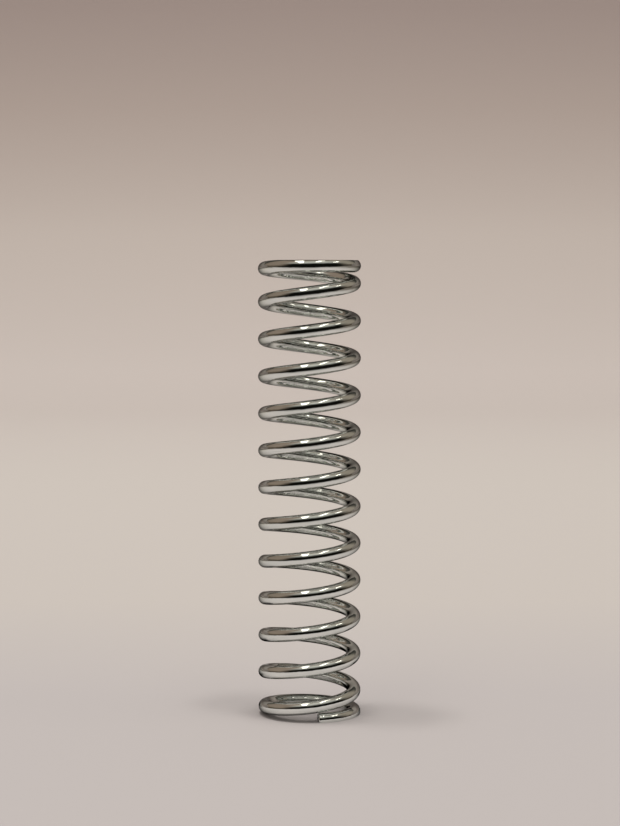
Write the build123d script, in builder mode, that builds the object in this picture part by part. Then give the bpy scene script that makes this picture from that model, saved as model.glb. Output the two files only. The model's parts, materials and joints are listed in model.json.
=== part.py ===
"""Compression spring: one piece of round wire, right-hand wound, with closed and ground ends.

The spring stands on its lower ground face. The origin is the middle of that face, on the
coil axis, and +Z runs along the axis to the upper ground face.
"""
from build123d import *
from math import ceil, cos, pi, radians, sin, sqrt
import os

# Driving dimensions, in millimetres, turns and degrees
wire_diameter = 1.3
outer_diameter = 10.0  # over the coils
free_length = 44.3  # from ground face to ground face, with no load
total_turns = 13.32  # from cut tip to cut tip, both closed turns included
bottom_grind = 0.45  # wire ground away under the lower tip
top_grind = 0.12  # wire ground away over the upper tip
tip_gap = 0.03  # between a cut tip and the turn that it closes onto
tip_edge_break = 0.06  # bevel around the cut end of the wire
tip_angle = -79.0  # where the lower tip stands around the axis, from +X
steps_per_turn = 6  # pairs of tangent arcs in one turn of the centre line

# The coil that these give
coil_radius = (outer_diameter - wire_diameter) / 2
turn_length = 2 * pi * coil_radius
closed_lead = wire_diameter + tip_gap  # climb from a tip to the wire right over it
first_height = wire_diameter / 2 - bottom_grind
last_height = free_length - wire_diameter / 2 + top_grind
pitch = (last_height - first_height - 2 * closed_lead) / (total_turns - 2)
rise_turns = 2 * closed_lead / pitch  # the part of a closed turn where its lead grows
flat_turns = 1 - rise_turns  # the level part next to the tip


def climb(turns):
    """Height gained this many turns from a tip: level, then a steadily growing lead."""
    if turns > 1:
        return closed_lead + pitch * (turns - 1)
    return pitch * max(turns - flat_turns, 0) ** 2 / (2 * rise_turns)


def lead(turns):
    """Height gained per turn, this many turns from a tip."""
    return pitch * min(max(turns - flat_turns, 0) / rise_turns, 1)


def station(turn):
    """Place and heading of the wire's centre line, counted in turns from the lower tip."""
    to_top = total_turns - turn
    height = first_height + climb(turn) if turn < to_top else last_height - climb(to_top)
    angle = radians(tip_angle + 360 * turn)
    outward = Vector(cos(angle), sin(angle), 0)
    around = Vector(-sin(angle), cos(angle), 0)
    place = outward * coil_radius + Vector(0, 0, height)
    heading = around * turn_length + Vector(0, 0, lead(min(turn, to_top)))
    return place, heading.normalized()


def arc_joint(start, heading, finish, last_heading):
    """Where an arc that leaves start and one that reaches finish meet in line."""
    span = finish - start
    along = span.dot(heading + last_heading)
    turning = 2 * (1 - heading.dot(last_heading))
    reach = (sqrt(along**2 + turning * span.dot(span)) - along) / turning
    return (start + heading * reach + finish - last_heading * reach) / 2


# The wire's centre line is a chain of tangent arcs, so each stretch of wire is a true torus
step_count = ceil(total_turns * steps_per_turn)
stations = [station(total_turns * step / step_count) for step in range(step_count + 1)]

with BuildLine() as centre_line:
    for (start, heading), (finish, last_heading) in zip(stations, stations[1:]):
        joint = arc_joint(start, heading, finish, last_heading)
        first_arc = TangentArc(start, joint, tangent=heading)
        TangentArc(joint, finish, tangent=first_arc % 1)

with BuildPart() as spring:
    with BuildSketch(Plane(centre_line.line @ 0, z_dir=centre_line.line % 0)):
        Circle(wire_diameter / 2)
    sweep(path=centre_line.line)
    chamfer(spring.faces().filter_by(GeomType.PLANE).edges(), tip_edge_break)
    # The two ends are ground flat and square to the axis
    split(bisect_by=Plane.XY, keep=Keep.TOP)
    split(bisect_by=Plane.XY.offset(free_length), keep=Keep.BOTTOM)

spring.part.label = "spring"
os.makedirs("parts", exist_ok=True)
export_step(spring.part, "parts/spring.step")
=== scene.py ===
"""Looks of the compression spring: bright zinc-plated wire on a pale paper sweep.

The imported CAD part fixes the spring's size. The wire is built again here, finer, along the
same centre line, with its cut tips and ground ends, so that its gloss runs smoothly.
"""
import json
import math

import bmesh
import bpy
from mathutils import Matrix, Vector, noise


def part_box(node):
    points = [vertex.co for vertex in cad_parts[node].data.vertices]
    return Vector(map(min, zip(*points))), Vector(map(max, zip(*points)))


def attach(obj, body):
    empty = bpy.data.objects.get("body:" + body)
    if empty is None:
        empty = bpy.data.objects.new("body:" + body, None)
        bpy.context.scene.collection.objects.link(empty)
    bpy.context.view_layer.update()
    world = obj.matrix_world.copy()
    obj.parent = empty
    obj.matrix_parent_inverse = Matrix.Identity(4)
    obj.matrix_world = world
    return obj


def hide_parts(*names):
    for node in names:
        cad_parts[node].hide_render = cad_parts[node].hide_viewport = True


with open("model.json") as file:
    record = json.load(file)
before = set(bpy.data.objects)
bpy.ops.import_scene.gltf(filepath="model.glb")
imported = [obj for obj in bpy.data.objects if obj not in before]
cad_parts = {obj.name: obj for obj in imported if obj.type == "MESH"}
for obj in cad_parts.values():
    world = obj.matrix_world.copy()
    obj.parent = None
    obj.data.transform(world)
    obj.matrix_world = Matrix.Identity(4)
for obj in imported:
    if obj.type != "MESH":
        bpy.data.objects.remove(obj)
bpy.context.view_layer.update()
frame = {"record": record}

MM = 0.001

# --- The spring's sizes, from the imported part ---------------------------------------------

low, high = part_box("spring")
mount_dims = {mount["name"]: mount["dims"] for mount in frame["record"]["mounts"]}
outer_radius = (high.x - low.x) / 2
inner_radius = mount_dims["guide_rod"]["r_mm"] * MM
free_length = high.z
wire_radius = (outer_radius - inner_radius) / 2
coil_radius = (outer_radius + inner_radius) / 2

# How the wire is wound and ground, as in the CAD part
total_turns = 13.32
tip_angle = math.radians(-79)
tip_gap = 0.03 * MM
bottom_grind = 0.45 * MM
top_grind = 0.12 * MM

closed_lead = 2 * wire_radius + tip_gap
first_height = wire_radius - bottom_grind
last_height = free_length - wire_radius + top_grind
pitch = (last_height - first_height - 2 * closed_lead) / (total_turns - 2)
rise_turns = 2 * closed_lead / pitch
flat_turns = 1 - rise_turns
turn_length = 2 * math.pi * coil_radius


def climb(turns):
    """Height gained this many turns from a tip: level, then a steadily growing lead."""
    if turns > 1:
        return closed_lead + pitch * (turns - 1)
    return pitch * max(turns - flat_turns, 0) ** 2 / (2 * rise_turns)


def centre_line(turn):
    """Place, heading and outward direction of the wire's centre line, turns from its foot."""
    to_top = total_turns - turn
    height = first_height + climb(turn) if turn < to_top else last_height - climb(to_top)
    lead = pitch * min(max(min(turn, to_top) - flat_turns, 0) / rise_turns, 1)
    angle = tip_angle + 2 * math.pi * turn
    outward = Vector((math.cos(angle), math.sin(angle), 0))
    around = Vector((-math.sin(angle), math.cos(angle), 0))
    heading = (around * turn_length + Vector((0, 0, lead))).normalized()
    return outward * coil_radius + Vector((0, 0, height)), heading, outward


# --- The wire's mesh ----------------------------------------------------------------------

RINGS_PER_TURN = 72
RING_POINTS = 40
EDGE_STEPS = 6
SHOULDER_STEPS = 8
edge_round = 0.14 * MM  # rounded rim of a cut tip
shoulder = 0.50 * MM  # the shear rolls the wire over, on one side, this far from its tip
roll_share = 0.20  # by this share of its radius
roll_angle = math.radians(30)  # most of all here, up from the outward side
shear_relief = 0.03 * MM  # how uneven a cut tip is
shear_lumps = 4  # lumps of that unevenness across half a tip, about
shear_slope = 0.5  # how far the upper half of a tip leans back, as a share of the relief
TIP_RINGS = 0.8, 0.6, 0.4, 0.2  # sizes of the rings that close a tip


def ring_plan():
    """(turn, ring radius) of every ring along the wire, from the lower tip to the upper."""
    lower = []
    for step in range(EDGE_STEPS + 1):
        angle = math.pi / 2 * step / EDGE_STEPS
        depth = edge_round * (1 - math.cos(angle))
        inset = edge_round * (1 - math.sin(angle))
        lower.append((depth / turn_length, wire_radius - inset))
    for step in range(1, SHOULDER_STEPS + 1):
        depth = edge_round + (shoulder - edge_round) * step / SHOULDER_STEPS
        lower.append((depth / turn_length, wire_radius))
    upper = [(total_turns - turn, radius) for turn, radius in reversed(lower)]
    first, last = lower[-1][0], upper[0][0]
    count = round((last - first) * RINGS_PER_TURN)
    middle = [(first + (last - first) * step / count, wire_radius) for step in range(1, count)]
    return lower + middle + upper


def add_ring(bm, place_layer, turn, radius, height=None):
    """One ring of points around the wire. height() moves a point of a cut tip along the wire."""
    centre, heading, outward = centre_line(turn)
    upward = outward.cross(heading)
    tip_distance = min(turn, total_turns - turn) * turn_length
    roll = roll_share * max(1 - tip_distance / shoulder, 0) ** 2
    ring = []
    for point in range(RING_POINTS):
        angle = 2 * math.pi * point / RING_POINTS
        reach = radius * (1 - roll * max(math.cos(angle - roll_angle), 0))
        across, over = reach * math.cos(angle), reach * math.sin(angle)
        along = height(across, over) if height else 0
        vert = bm.verts.new(centre + outward * across + upward * over + heading * along)
        vert[place_layer] = (turn * turn_length + along, across, over)
        ring.append(vert)
    return ring


def add_band(bm, ring, following, material_index=0):
    """The faces between two rings."""
    for point in range(RING_POINTS):
        after = (point + 1) % RING_POINTS
        face = bm.faces.new((ring[point], ring[after], following[after], following[point]))
        face.material_index = material_index


def close_tip(bm, place_layer, rim, turn, facing):
    """Closes one cut tip with rings of faces, a little uneven as a shear leaves it."""
    face_radius = wire_radius - edge_round
    for share in TIP_RINGS:

        def torn(across, over):
            spot = Vector((across, over, 0)) * shear_lumps / face_radius
            lump = noise.noise(spot + Vector((0, 0, turn)))
            slope = shear_slope * max(over / face_radius, 0)
            return facing * shear_relief * (lump - slope) * (1 - share**4)

        inner = add_ring(bm, place_layer, turn, face_radius * share, torn)
        add_band(bm, rim, inner, 2)
        rim = inner
    bm.faces.new(rim).material_index = 2


def wire_mesh():
    """The whole wire as one closed mesh, with each point's place on the straight wire."""
    bm = bmesh.new()
    place_layer = bm.verts.layers.float_vector.new("wire_place")
    rings = [add_ring(bm, place_layer, turn, radius) for turn, radius in ring_plan()]
    for ring, following in zip(rings, rings[1:]):
        add_band(bm, ring, following)
    close_tip(bm, place_layer, rings[0], 0, -1)
    close_tip(bm, place_layer, rings[-1], total_turns, 1)
    bmesh.ops.recalc_face_normals(bm, faces=bm.faces)
    return bm


def grind(bm, height, facing):
    """Grinds one end flat and square at this height. The ground face takes material 1."""
    cut = bmesh.ops.bisect_plane(
        bm,
        geom=bm.verts[:] + bm.edges[:] + bm.faces[:],
        dist=1e-8,
        plane_co=(0, 0, height),
        plane_no=(0, 0, facing),
        clear_outer=True,
    )
    rim = [item for item in cut["geom_cut"] if isinstance(item, bmesh.types.BMEdge)]
    for edge in rim:
        edge.smooth = False
    filled = bmesh.ops.edgeloop_fill(bm, edges=rim, mat_nr=1, use_smooth=False)
    return filled["faces"]


wire = wire_mesh()
for face in wire.faces:
    face.smooth = True
grind(wire, 0, -1)
grind(wire, free_length, 1)
bmesh.ops.recalc_face_normals(wire, faces=wire.faces)
mesh = bpy.data.meshes.new("spring_wire")
wire.to_mesh(mesh)
wire.free()
spring = bpy.data.objects.new("spring_wire", mesh)
bpy.context.scene.collection.objects.link(spring)
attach(spring, "root")
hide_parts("spring")


# --- Materials ----------------------------------------------------------------------------


class Nodes:
    """A node tree with short calls to add, set and link its nodes."""

    def __init__(self, tree):
        self.tree = tree
        tree.nodes.clear()

    def add(self, kind, settings=None, **inputs):
        """A new node. An underscore in an input's name stands for a space."""
        node = self.tree.nodes.new(kind)
        for name, value in (settings or {}).items():
            setattr(node, name, value)
        for name, value in inputs.items():
            self.set(node, name.replace("_", " "), value)
        return node

    def set(self, node, name, value):
        """Links or sets one input, by its name or its number."""
        socket = node.inputs[int(name)] if name.isdigit() else node.inputs[name]
        if isinstance(value, bpy.types.NodeSocket):
            self.tree.links.new(value, socket)
        else:
            socket.default_value = value

    def math(self, operation, first, second=0.0, third=0.0):
        node = self.tree.nodes.new("ShaderNodeMath")
        node.operation = operation
        for index, value in enumerate((first, second, third)):
            self.set(node, str(index), value)
        return node.outputs[0]

    def spread(self, value, low, high, to_low=0.0, to_high=1.0):
        """Runs smoothly from to_low to to_high while the value runs from low to high."""
        node = self.add("ShaderNodeMapRange", {"interpolation_type": "SMOOTHSTEP"})
        for name, number in (
            ("Value", value),
            ("From Min", low),
            ("From Max", high),
            ("To Min", to_low),
            ("To Max", to_high),
        ):
            self.set(node, name, number)
        return node.outputs["Result"]

    def blend(self, share, first, second):
        """The first colour, or as much of the second as this share."""
        node = self.add("ShaderNodeMix", {"data_type": "RGBA"})
        for index, value in ((0, share), (6, first), (7, second)):
            self.set(node, str(index), value)
        return node.outputs[2]

    def stretched_noise(self, vector, along, across, detail=3.0, roughness=0.5):
        """Noise with features this long and this wide, in metres, on the straight wire."""
        scaled = self.add("ShaderNodeVectorMath", {"operation": "MULTIPLY"})
        self.set(scaled, "0", vector)
        self.set(scaled, "1", (1 / along, 1 / across, 1 / across))
        node = self.add(
            "ShaderNodeTexNoise",
            Vector=scaled.outputs[0],
            Scale=1.0,
            Detail=detail,
            Roughness=roughness,
        )
        return node.outputs["Fac"]

    def bump(self, height, distance, strength, lumps=None):
        """The surface's normal, raised by this height, on top of larger lumps."""
        node = self.add("ShaderNodeBump", Strength=strength, Distance=distance, Height=height)
        if lumps is not None:
            self.set(node, "Normal", lumps)
        return node.outputs["Normal"]

    def metal(self, tint, rough, normal):
        """The shader of a metal surface, linked to the material's output."""
        shader = self.add(
            "ShaderNodeBsdfPrincipled",
            Base_Color=tint,
            Metallic=1.0,
            Roughness=rough,
            Normal=normal,
        )
        self.add("ShaderNodeOutputMaterial", Surface=shader.outputs[0])
        return shader


def new_material(name):
    """A material with an empty node tree."""
    material = bpy.data.materials.new(name)
    material.use_nodes = True
    return material, Nodes(material.node_tree)


def zinc_plate():
    """Bright zinc plate over drawn wire: greenish grey, with draw marks and soft dents."""
    material, nodes = new_material("zinc_plate")
    place = nodes.add("ShaderNodeAttribute", {"attribute_name": "wire_place"}).outputs["Vector"]
    cloud = nodes.stretched_noise(place, 3.0 * MM, 1.2 * MM)
    marks = nodes.stretched_noise(place, 2.4 * MM, 0.07 * MM, detail=4.0, roughness=0.6)
    dents = nodes.stretched_noise(place, 0.9 * MM, 0.45 * MM, detail=2.0)
    deep, bright, marked = (0.86, 0.90, 0.87, 1), (0.93, 0.96, 0.93, 1), (0.52, 0.56, 0.55, 1)
    tint = nodes.blend(nodes.spread(cloud, 0.35, 0.65), deep, bright)
    tint = nodes.blend(nodes.spread(marks, 0.54, 0.72, 0.0, 0.45), tint, marked)
    cloud_rough = nodes.spread(cloud, 0.3, 0.7, 0.02, 0.05)
    rough = nodes.math("ADD", cloud_rough, nodes.spread(marks, 0.4, 0.8, 0.0, 0.07))
    lumps = nodes.bump(dents, 0.014 * MM, 1.0)
    shader = nodes.metal(tint, rough, nodes.bump(marks, 0.0042 * MM, 0.5, lumps))
    nodes.set(shader, "Specular Tint", (0.15, 0.15, 0.15, 1))
    return material


def ground_steel():
    """The flat ground ends: bare steel with the straight fine scratches of a grinding wheel."""
    material, nodes = new_material("ground_steel")
    place = nodes.add("ShaderNodeTexCoord").outputs["Object"]
    scratches = nodes.stretched_noise(place, 3.0 * MM, 0.05 * MM, detail=4.0, roughness=0.7)
    cloud = nodes.stretched_noise(place, 1.5 * MM, 1.5 * MM)
    dark, bright = (0.46, 0.46, 0.45, 1), (0.66, 0.66, 0.64, 1)
    tint = nodes.blend(nodes.spread(scratches, 0.3, 0.7), dark, bright)
    scratch_rough = nodes.spread(scratches, 0.3, 0.7, 0.24, 0.36)
    rough = nodes.math("ADD", scratch_rough, nodes.spread(cloud, 0.3, 0.7, 0.0, 0.1))
    nodes.metal(tint, rough, nodes.bump(scratches, 0.006 * MM, 0.6))
    return material


def sheared_zinc():
    """The cut tips: zinc over a rough sheared face, darker and torn across."""
    material, nodes = new_material("sheared_zinc")
    place = nodes.add("ShaderNodeTexCoord").outputs["Object"]
    tears = nodes.stretched_noise(place, 0.12 * MM, 0.5 * MM, detail=4.0, roughness=0.7)
    dark, bright = (0.30, 0.31, 0.30, 1), (0.56, 0.58, 0.56, 1)
    tint = nodes.blend(nodes.spread(tears, 0.3, 0.7), dark, bright)
    rough = nodes.spread(tears, 0.3, 0.7, 0.50, 0.34)
    nodes.metal(tint, rough, nodes.bump(tears, 0.02 * MM, 0.8))
    return material


for material in (zinc_plate(), ground_steel(), sheared_zinc()):
    mesh.materials.append(material)


# --- Floor, backdrop, lights and camera ---------------------------------------------------

# DARK is also the colour of the painted shade close behind the spring, in the paper's colour for
# glossy rays
DARK = (0.004, 0.004, 0.003, 1)  # the unlit room behind the camera
DUSK = (0.08, 0.062, 0.045, 1)  # the same room, further round at both sides
# Where the paper's colour, for glossy rays only, is painted over with that room, a painted
# reflection as if the paper ended there: start and end, from the axis
FADE_FRONT = 0.025, 0.11
FADE_RIGHT = 0.03, 0.15
FADE_LEFT = 0.06, 0.42
SIDE_FADE = 0.8  # how much of that fade both sides take, on the flat of the paper
SIDE_FADE_TOP = 0.08  # and the height at which it is gone
# A painted shade close behind the spring, put into the paper's colour for glossy rays only, so
# that only the wire mirrors it: where it starts and ends
SHADE_START = 0.003, 0.007
SHADE_BACK = 0.017, 0.045
SHADE_SIDE = 0.008, 0.018
# Colour of the paper, by how far back and up the sweep, with painted shade in it: darker on the
# flat close to the spring, against the lamps' brighter light there, darker up the curve where
# the light falls off, and lighter again at the top: (distance, colour)
PAPER_WITH_PAINTED_SHADE = (
    (0.01, (0.477, 0.438, 0.426, 1)),
    (0.07, (0.527, 0.481, 0.446, 1)),
    (0.23, (0.568, 0.519, 0.478, 1)),
    (0.53, (0.640, 0.572, 0.532, 1)),
    (0.67, (0.595, 0.523, 0.476, 1)),
    (0.77, (0.480, 0.402, 0.362, 1)),
    (0.84, (0.405, 0.330, 0.303, 1)),
    (0.95, (0.560, 0.500, 0.460, 1)),
)


def paper_sweep():
    """A sheet of pale paper: flat under the spring, then curving up behind it."""
    half_width, front, bend, radius, top = 2.0, -2.0, 0.45, 0.25, 0.42
    bend_steps = 16
    profile = [(front, 0.0), (-0.5, 0.0), (0.0, 0.0), (bend, 0.0)]
    for step in range(1, bend_steps + 1):
        angle = math.pi / 2 * step / bend_steps
        profile.append((bend + radius * math.sin(angle), radius * (1 - math.cos(angle))))
    profile.append((bend + radius, top))
    bm = bmesh.new()
    rows = [
        [bm.verts.new((side * half_width, y, z)) for side in (-1, 1)] for y, z in profile
    ]
    for row, following in zip(rows, rows[1:]):
        bm.faces.new((row[0], row[1], following[1], following[0])).smooth = True
    mesh = bpy.data.meshes.new("paper_sweep")
    bm.to_mesh(mesh)
    bm.free()
    sweep = bpy.data.objects.new("paper_sweep", mesh)
    bpy.context.scene.collection.objects.link(sweep)
    return sweep


def paper():
    """Pale matt paper, with painted shade in its colour. For glossy rays only, it is painted
    darker away from the spring and with a painted shade close behind it, so the wire mirrors it
    darker there.
    """
    material, nodes = new_material("paper")
    split = nodes.add("ShaderNodeSeparateXYZ")
    nodes.set(split, "0", nodes.add("ShaderNodeTexCoord").outputs["Object"])
    x, y, z = split.outputs
    # The ramp paints shade into the paper's colour, for every ray
    ramp = nodes.add("ShaderNodeValToRGB", Fac=nodes.math("ADD", y, z))
    stops = ramp.color_ramp.elements
    while len(stops) < len(PAPER_WITH_PAINTED_SHADE):
        stops.new(1.0)
    for stop, (distance, colour) in zip(stops, PAPER_WITH_PAINTED_SHADE):
        stop.position, stop.color = distance, colour
    past_front = nodes.spread(nodes.math("MULTIPLY", y, -1.0), *FADE_FRONT)
    past_right = nodes.spread(x, *FADE_RIGHT)
    past_left = nodes.spread(nodes.math("MULTIPLY", x, -1.0), *FADE_LEFT)
    past_side = nodes.math("MAXIMUM", past_right, past_left)
    low_down = nodes.spread(z, 0.0, SIDE_FADE_TOP, SIDE_FADE, 0.0)
    past_side = nodes.math("MULTIPLY", past_side, low_down)
    # Painted shade: a dark patch in the paper's colour close behind the spring, for glossy rays
    # only
    behind = nodes.spread(y, *SHADE_START)
    behind = nodes.math("MULTIPLY", behind, nodes.spread(y, *SHADE_BACK, 1.0, 0.0))
    off_axis = nodes.math("ABSOLUTE", x)
    behind = nodes.math("MULTIPLY", behind, nodes.spread(off_axis, *SHADE_SIDE, 1.0, 0.0))
    in_gloss = nodes.add("ShaderNodeLightPath").outputs["Is Glossy Ray"]
    tint = ramp.outputs["Color"]
    # For glossy rays only, the paper's colour is painted over: with the room at its sides and
    # front, a painted reflection, and with the painted shade close behind the spring
    for share, colour in ((past_side, DUSK), (past_front, DARK), (behind, DARK)):
        tint = nodes.blend(nodes.math("MULTIPLY", share, in_gloss), tint, colour)
    shader = nodes.add("ShaderNodeBsdfPrincipled", Base_Color=tint, Roughness=0.9)
    nodes.set(shader, "Specular IOR Level", 0.0)
    nodes.add("ShaderNodeOutputMaterial", Surface=shader.outputs[0])
    return material


paper_sweep().data.materials.append(paper())


CEILING_HEIGHT = 1.0
WARM = (1.0, 0.94, 0.84)
SOFT = (1.0, 0.985, 0.96)


def ceiling_light(name, x, front, back, width, power, colour, turn=0.0, in_gloss=True):
    """An area light on the ceiling, from front to back, turned by this angle in degrees."""
    data = bpy.data.lights.new(name, "AREA")
    data.shape = "RECTANGLE"
    data.size, data.size_y = width, back - front
    data.energy = power
    data.color = colour
    light = bpy.data.objects.new(name, data)
    light.location = (x, (front + back) / 2, CEILING_HEIGHT)
    light.rotation_euler.z = math.radians(turn)
    light.visible_glossy = in_gloss
    bpy.context.scene.collection.objects.link(light)


# Three strip lights make the highlights. The wire doesn't mirror the three soft lamps: they
# light the paper, from straight above and from both sides, and cast the spring's shadows.
ceiling_light("left_strip", -0.27, -0.80, 0.12, 0.19, 1.05, WARM, -9)
ceiling_light("right_strip", 0.24, -0.55, 0.04, 0.12, 0.45, WARM)
ceiling_light("far_strip", 0.82, -0.28, 0.05, 0.08, 0.32, WARM)
ceiling_light("down_lamp", 0.0, -0.05, 0.05, 0.10, 3.5, SOFT, in_gloss=False)
ceiling_light("left_lamp", -0.19, -0.03, 0.09, 0.10, 1.8, SOFT, in_gloss=False)
ceiling_light("right_lamp", 0.14, -0.16, -0.04, 0.08, 1.5, SOFT, in_gloss=False)

DOME = (0.50, 0.495, 0.49, 1)  # soft light from above, as the paper takes it
DOME_EDGE = (0.14, 0.138, 0.135, 1)  # and from low down
GLOW = (0.54, 0.52, 0.465, 1)  # the ceiling between the strip lights
LEFT = (0.235, 0.182, 0.143, 1)  # what stands on the left, browner
RIGHT = (0.278, 0.236, 0.190, 1)  # and on the right
BEHIND = (0.07, 0.064, 0.055, 1)  # the room above the paper
BACKGROUND = (0.50, 0.45, 0.41, 1)  # past the paper, as the camera sees it
# Where the room changes: start and end, in a mirrored ray's direction, with x to the right,
# y to the back and z up
CEILING_ABOVE = 0.42, 0.90  # in front, the ceiling above the dark
SIDES_ABOVE = 0.12, 0.36  # at both sides, what stands there above the dusk
LEFT_TO_RIGHT = -0.30, 0.30
FRONT_TO_SIDES = -0.60, 0.10
FRONT_SKEW = 0.25  # the front reaches further round on the right, by this share of x
SIDES_TO_BEHIND = 0.50, 0.75
# A dark part high up behind the spring: its half width, its front edge and its lower edge
HIGH_DARK_WIDTH = 0.15, 0.40
HIGH_DARK_FRONT = 0.05, 0.35
HIGH_DARK_LOW = 0.50, 0.70


def room():
    """The room around the table, as the wire mirrors it: dark in front, brown at both sides.

    The paper is lit by an even dome instead, and the camera sees a plain background.
    """
    world = bpy.data.worlds.new("room")
    bpy.context.scene.world = world
    world.use_nodes = True
    nodes = Nodes(world.node_tree)
    split = nodes.add("ShaderNodeSeparateXYZ")
    nodes.set(split, "0", nodes.add("ShaderNodeTexCoord").outputs["Generated"])
    x, y, z = split.outputs
    front = nodes.blend(nodes.spread(z, *CEILING_ABOVE), DARK, GLOW)
    beside = nodes.blend(nodes.spread(x, *LEFT_TO_RIGHT), LEFT, RIGHT)
    sides = nodes.blend(nodes.spread(z, *SIDES_ABOVE), DUSK, beside)
    facing = nodes.math("SUBTRACT", y, nodes.math("MULTIPLY", x, FRONT_SKEW))
    around = nodes.blend(nodes.spread(facing, *FRONT_TO_SIDES), front, sides)
    around = nodes.blend(nodes.spread(y, *SIDES_TO_BEHIND), around, BEHIND)
    middle = nodes.spread(nodes.math("ABSOLUTE", x), *HIGH_DARK_WIDTH, 1.0, 0.0)
    high_back = nodes.math(
        "MULTIPLY", nodes.spread(y, *HIGH_DARK_FRONT), nodes.spread(z, *HIGH_DARK_LOW)
    )
    mirrored_room = nodes.blend(nodes.math("MULTIPLY", middle, high_back), around, DARK)
    path = nodes.add("ShaderNodeLightPath")
    past_matt = nodes.math("GREATER_THAN", path.outputs["Diffuse Depth"], 0.5)
    mirrored = nodes.math("SUBTRACT", path.outputs["Is Glossy Ray"], past_matt)
    dome = nodes.blend(nodes.spread(z, 0.0, 1.0), DOME_EDGE, DOME)
    colour = nodes.blend(nodes.math("MAXIMUM", mirrored, 0.0), dome, mirrored_room)
    colour = nodes.blend(path.outputs["Is Camera Ray"], colour, BACKGROUND)
    background = nodes.add("ShaderNodeBackground", Color=colour, Strength=1.0)
    nodes.add("ShaderNodeOutputWorld", Surface=background.outputs[0])


room()

# The camera looks a little down on the spring, from about 20 cm in front of it
CAMERA_PLACE = 0.055 * MM, -200.8 * MM, 42.71 * MM
CAMERA_PITCH = math.radians(3.77)  # below level
LENS = 90.16  # focal length, in millimetres, on a sensor 36 mm long

camera_data = bpy.data.cameras.new("camera")
camera_data.sensor_width = 36
camera_data.sensor_fit = "AUTO"
camera_data.lens = LENS
camera_data.clip_start = 0.01
camera = bpy.data.objects.new("camera", camera_data)
camera.location = CAMERA_PLACE
camera.rotation_euler = (math.pi / 2 - CAMERA_PITCH, 0, 0)
bpy.context.scene.collection.objects.link(camera)
bpy.context.scene.camera = camera

bpy.context.scene.view_settings.view_transform = "Standard"
